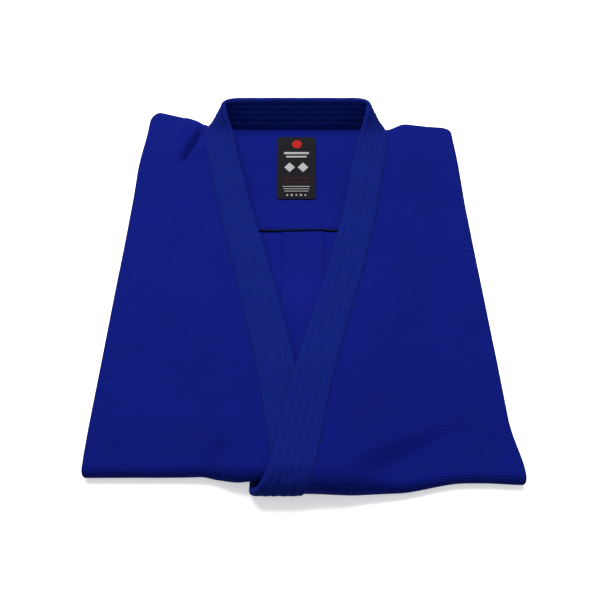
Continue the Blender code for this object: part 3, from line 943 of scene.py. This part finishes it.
def patches(name, outlines, finish):
    """Small raised embroidered shapes on the label, one mesh for them all."""
    points, faces, uv = [], [], []
    for outline in outlines:
        outline = np.array(outline)
        middle = outline.mean(axis=0)
        start, size = len(points), len(outline)
        for scale, rise in ((1.0, 0.0), (1.0, 0.6), (0.86, 1.0)):
            for x, y in middle + (outline - middle) * scale:
                points.append((x, y, float(label_height(x, y)) + MARK_LIFT * rise))
                uv.append((x, y))
        for base in (start, start + size):
            for k in range(size):
                after = (k + 1) % size
                faces.append((base + k, base + after, base + after + size, base + k + size))
        faces.append([start + k for k in range(size - 1, -1, -1)])
        faces.append([start + 2 * size + k for k in range(size)])
    new_object(name, points, faces, finish, np.array(uv))


def bar(x, y, width, height):
    return [(x, y), (x + width, y), (x + width, y + height), (x, y + height)]


def disc(x, y, radius, sides=20):
    turn = np.linspace(0, 2 * math.pi, sides, endpoint=False)
    return [(x + radius * math.cos(a), y + radius * math.sin(a)) for a in turn]


def diamond(x, y, radius):
    return disc(x, y, radius, 4)


def label_shapes(middle):
    """White marks on the label: bars, two diamonds, three fine lines and a row of dots."""
    shapes = [bar(*place) for place in WHITE_BARS]
    shapes += [diamond(middle + side * 0.0105, 0.2065, 0.0090) for side in (-1, 1)]
    for row in range(3):
        shapes.append(bar(-0.0265 + 0.0015 * row, 0.1725 - 0.0042 * row, 0.0460 - 0.0030 * row, 0.0011))
    for column in range(5):
        shapes.append(disc(middle - 0.0140 + 0.0070 * column, 0.1575, 0.0019, 12 if column % 2 else 4))
    return shapes


def woven_label(black, red, dark_red, white, thread):
    """Black woven label with plain generic marks and stitched edges."""
    (left, near), (right, far) = LABEL_LOW, LABEL_HIGH
    label = lying_sheet(
        "woven_label", label_height, rounded_ends(left, 1, (near, far), LABEL_CORNER),
        rounded_ends(right, -1, (near, far), LABEL_CORNER), (near, far), 0.0011, black, "woven_label",
        spacing=0.0015,
    )
    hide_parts("neck_label")
    middle = (left + right) / 2
    patches("label_disc", [disc(middle + 0.001, 0.2480, 0.0085)], red)
    patches("label_dark_bars", [bar(*place) for place in DARK_BARS], dark_red)
    patches("label_white_marks", label_shapes(middle), white)
    lines = []
    for x in (left + 0.0022, right - 0.0022):
        lines.append(surface_line(x, np.linspace(near + 0.004, far - 0.004, 60), label_height, 0.0006))
    for y in (near + 0.0022, far - 0.0022):
        lines.append(surface_line(np.linspace(left + 0.004, right - 0.004, 40), y, label_height, 0.0006))
    stitches("label_stitching", lines, thread, step=0.0030, length=0.0022, radius=0.00028)


def tube_loop(width, thickness, wall):
    """Outer and inner outline of a flattened sleeve, as matching loops of (x, z)."""
    loops = []
    for inset in (0.0, wall):
        half, radius = width / 2 - thickness / 2, thickness / 2 - inset
        loop = []
        for centre, start in ((half, -math.pi / 2), (-half, math.pi / 2)):
            for turn in np.linspace(start, start + math.pi, 9):
                loop.append((centre + radius * math.cos(turn), radius * math.sin(turn)))
            edge = radius if centre > 0 else -radius
            for share in np.linspace(0, 1, 40)[1:-1]:
                loop.append((centre - 2 * centre * share, edge))
        loops.append(loop)
    return np.array(loops)


def armhole_pinch(y):
    """0 along a sleeve, rising to 1 at its armhole end, where the seam holds the tube shut."""
    return float(np.clip((y - 0.275) / 0.010, 0, 1))


def sleeve_piece(name, label, ys, size, finish, pinch):
    """Flattened tube of cloth lying along Y under the back, softly rippled along its folded edges."""
    sign = side_of(name)
    widths, thickness, wall = size
    points, uv = [], []
    for y, share in zip(ys, np.linspace(0, 1, len(ys))):
        width = widths[0] + (widths[1] - widths[0]) * share
        middle = sign * (HALF_WIDTH - 0.008 - width / 2)
        opening = 0.45 + 0.55 * math.sqrt(max(1 - pinch(y) ** 2, 0.0))
        for loop in tube_loop(width, thickness, wall):
            x = middle + loop[:, 0] + 0.0012 * np.sin(y * 55 + 2 * sign) * np.sign(loop[:, 0])
            z = sleeve_z(x, y) + loop[:, 1] * opening
            along = np.full(x.shape, y)
            points.append(xyz(x, along, z))
            uv.append(np.stack([x + 0.002 * loop[:, 1], along], -1))
    ring = np.arange(len(ys) * 2 * len(points[0])).reshape(len(ys), 2, -1)
    after = np.roll(ring, -1, axis=2)
    outer, outer_next = ring[:, 0], after[:, 0]
    inner, inner_next = ring[:, 1], after[:, 1]
    quads = [
        np.stack([outer[:-1], outer_next[:-1], outer_next[1:], outer[1:]], -1),
        np.stack([inner_next[:-1], inner[:-1], inner[1:], inner_next[1:]], -1),
        np.stack([outer_next[0], outer[0], inner[0], inner_next[0]], -1)[None],
        np.stack([outer[-1], outer_next[-1], inner_next[-1], inner[-1]], -1)[None],
    ]
    faces = np.vstack([block.reshape(-1, 4) for block in quads])
    obj = new_object(label, np.vstack(points), faces, finish, np.vstack(uv))
    return obj


def gusset_half(ys):
    """Half width of the gusset at each y, with blunt ends."""
    return GUSSET_WIDTH * (1 - np.abs(ys - GUSSET_Y) / GUSSET_LENGTH) + 0.003


def sleeve(name, finish, canvas, thread):
    """One sleeve folded behind the back, with its cuff and the gusset under its arm."""
    sign = side_of(name)
    ys = np.linspace(*SLEEVE_Y, 100)
    tube = sleeve_piece(name, f"{name}_sleeve_tube", ys, SLEEVE_SIZE, finish, armhole_pinch)
    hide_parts(f"{name}_sleeve")
    ys = np.linspace(*CUFF_Y, 14)
    cuff = sleeve_piece(name, f"{name}_cuff", ys, CUFF_SIZE, canvas, lambda y: 0.0)
    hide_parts(f"{name}_cuff_band")
    gusset = lying_sheet(
        f"{name}_gusset", lambda x, y: back_z(x, y) - BODY_CLOTH / 2 - 0.0004 - LINING_CLOTH / 2,
        lambda ys: sign * GUSSET_X - gusset_half(ys), lambda ys: sign * GUSSET_X + gusset_half(ys),
        (0.005, 0.115), LINING_CLOTH, finish, "pearl_weave",
    )
    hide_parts(f"{name}_underarm_gusset")
    lines = []
    for row in CUFF_STITCH_ROWS:
        x = sign * np.linspace(0.070, 0.232, 80)
        lines.append(surface_line(x, CUFF_Y[1] + row, sleeve_z, 0.0038))
        line, normals = surface_line(x, CUFF_Y[1] + row, sleeve_z, -0.0038)
        lines.append((line, -normals))
    stitches(f"{name}_cuff_stitching", lines, thread)


def shoulder_lining(name, finish):
    """Lining under a front, which carries the yoke's lining over the shoulder."""
    sign = side_of(name)
    lining = lying_sheet(
        f"{name}_shoulder_inside",
        lambda x, y: front_z(name, x, y) - BODY_CLOTH / 2 - 0.0004 - LINING_CLOTH,
        lambda ys: sign * (np.abs(band_at(name, ys, 1)) + 0.018), level(sign * (HALF_WIDTH - 0.016)),
        (0.150, 0.272), LINING_CLOTH, finish, "drill_lining",
    )
    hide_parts(f"{name}_shoulder_lining")


def skirt(weave, canvas, thread):
    """Lower jacket turned under at the near fold, each part with its stitched hem."""
    start, end = WAIST_Y + 0.0004, SKIRT_END_Y - 0.022
    hem = (SKIRT_END_Y - 0.0216, SKIRT_END_Y)
    parts = (
        ("left_front_skirt", lambda x, y: skirt_front_z("left", x), 0.012, 0.250),
        ("right_front_skirt", lambda x, y: skirt_front_z("right", x), -0.250, -0.024),
        ("back_skirt", skirt_back_z, -0.246, 0.246),
    )
    seams = []
    for node, height, left, right in parts:
        label = node.replace("skirt", "lower")
        edges = level(left), level(right)
        lower = lying_sheet(label, height, *edges, (start, end), SKIRT_CLOTH, weave, "skirt_weave")
        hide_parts(node)
        band_name = label.replace("lower", "hem_band")
        band = lying_sheet(band_name, height, *edges, hem, 0.0024, canvas, "lapel_canvas", spacing=0.003)
        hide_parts(node.replace("skirt", "hem"))
        x = np.linspace(left + 0.003, right - 0.003, 160)
        for offset in (0.004, 0.010, 0.016):
            seams.append(surface_line(x, hem[0] + offset, height, 0.0013))
    stitches("hem_stitching", seams, thread)


def vent_patch(name, canvas):
    """Small patch that strengthens the end of a side slit."""
    sign = side_of(name)
    patch = lying_sheet(
        f"{name}_vent", lambda x, y: skirt_back_z(x, y) - SKIRT_CLOTH / 2 - 0.0006,
        level(sign * VENT_X - VENT_HALF), level(sign * VENT_X + VENT_HALF), (-0.236, -0.200), 0.0006,
        canvas, "lapel_canvas",
    )
    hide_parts(f"{name}_vent_patch")


def bands(finish, thread):
    """Both stitched bands, which meet at a join on the back of the neck."""
    seam, free = band_route()
    seam, free, marks = even_stations(seam, free, 0.0020)
    join = np.argmax((seam[:, 0] > JOIN_X) & (seam[:, 1] > 0.27))
    right, left = slice(0, join + 1), slice(join, len(seam))
    right_band = lapel_band("right", seam[right], free[right], marks[right], finish, thread)
    left_band = lapel_band("left", seam[left], free[left], marks[left], finish, thread)
    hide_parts("right_lapel_cover", "right_lapel_core", "collar_cover", "collar_core")
    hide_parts("left_lapel_cover", "left_lapel_core")


# ---- studio


def floor():
    """Wide white floor. It glows a little and lights nothing, so that the jacket's shadow stays pale."""
    far = 40.0
    corners = [(-far, -far, 0), (far, -far, 0), (far, far, 0), (-far, far, 0)]
    mesh = bpy.data.meshes.new("floor")
    mesh.from_pydata(corners, [], [(0, 1, 2, 3)])
    graph = Graph("pale_floor")
    inputs = graph.shader.inputs
    inputs["Base Color"].default_value = (0.93, 0.93, 0.935, 1.0)
    inputs["Roughness"].default_value = 0.9
    inputs["Specular IOR Level"].default_value = 0.1
    inputs["Emission Color"].default_value = (1.0, 1.0, 1.0, 1.0)
    inputs["Emission Strength"].default_value = 0.45
    mesh.materials.append(graph.material)
    obj = placed("floor", mesh)
    obj.location.z = -0.0006
    obj.visible_diffuse = False


def overhead_light():
    """One large soft lamp, aimed at the middle of the jacket."""
    place = Vector(LAMP_PLACE)
    data = bpy.data.lights.new("overhead", "AREA")
    data.shape = "RECTANGLE"
    data.size, data.size_y = LAMP_SIZE
    data.energy = LAMP_POWER
    obj = placed("overhead", data)
    obj.location = place
    obj.rotation_euler = (-place).to_track_quat("-Z", "Y").to_euler()


def studio():
    scene = bpy.context.scene
    floor()
    scene.view_settings.view_transform = "Standard"
    overhead_light()
    scene.world = scene.world or bpy.data.worlds.new("world")
    scene.world.use_nodes = True
    background = scene.world.node_tree.nodes["Background"]
    background.inputs["Color"].default_value = (1.0, 1.0, 1.0, 1.0)
    background.inputs["Strength"].default_value = SKY_STRENGTH
    camera = bpy.data.cameras.new("camera")
    camera.angle = CAMERA_ANGLE
    view = placed("camera", camera)
    view.location = CAMERA_PLACE
    view.rotation_euler = (CAMERA_TILT, 0.0, 0.0)
    scene.camera = view


def build():
    """Every finish, then every piece, from the fronts down to the lower jacket."""
    weave = pearl_weave("pearl_weave", ROYAL, row=PEARL_ROW, grain=PEARL_GRAIN, depth=0.0006)
    inside = pearl_weave("pearl_weave_inside", LINING, row=0.0026, grain=0.0045, depth=0.0006)
    lower = pearl_weave("skirt_weave", ROYAL, row=0.0050, grain=0.0050, depth=0.0009)
    canvas = plain_weave("lapel_canvas", LAPEL, CANVAS_THREAD, 0.0003)
    smooth = plain_weave("drill_lining", LINING, DRILL_TWILL, 0.0003, twill=True)
    thread = thread_finish("sewing_thread", THREAD)
    for name in ("left", "right"):
        front_panel(name, weave)
        back_panel(name, inside)
        sleeve(name, weave, canvas, thread)
        shoulder_lining(name, smooth)
        vent_patch(name, canvas)
    bands(canvas, thread)
    back_interior(smooth, plain_weave("piping", NAVY, 0.0010, 0.0002), thread)
    woven_label(
        plain_weave("woven_label", (0.0085, 0.0085, 0.0095, 1.0), 0.0007, 0.0001),
        thread_finish("red_embroidery", (0.36, 0.014, 0.010, 1.0)),
        thread_finish("dark_red_embroidery", (0.055, 0.008, 0.008, 1.0)),
        thread_finish("white_embroidery", (0.36, 0.36, 0.36, 1.0)),
        thread_finish("label_thread", (0.02, 0.02, 0.025, 1.0)),
    )
    skirt(lower, canvas, thread)
    studio()


build()
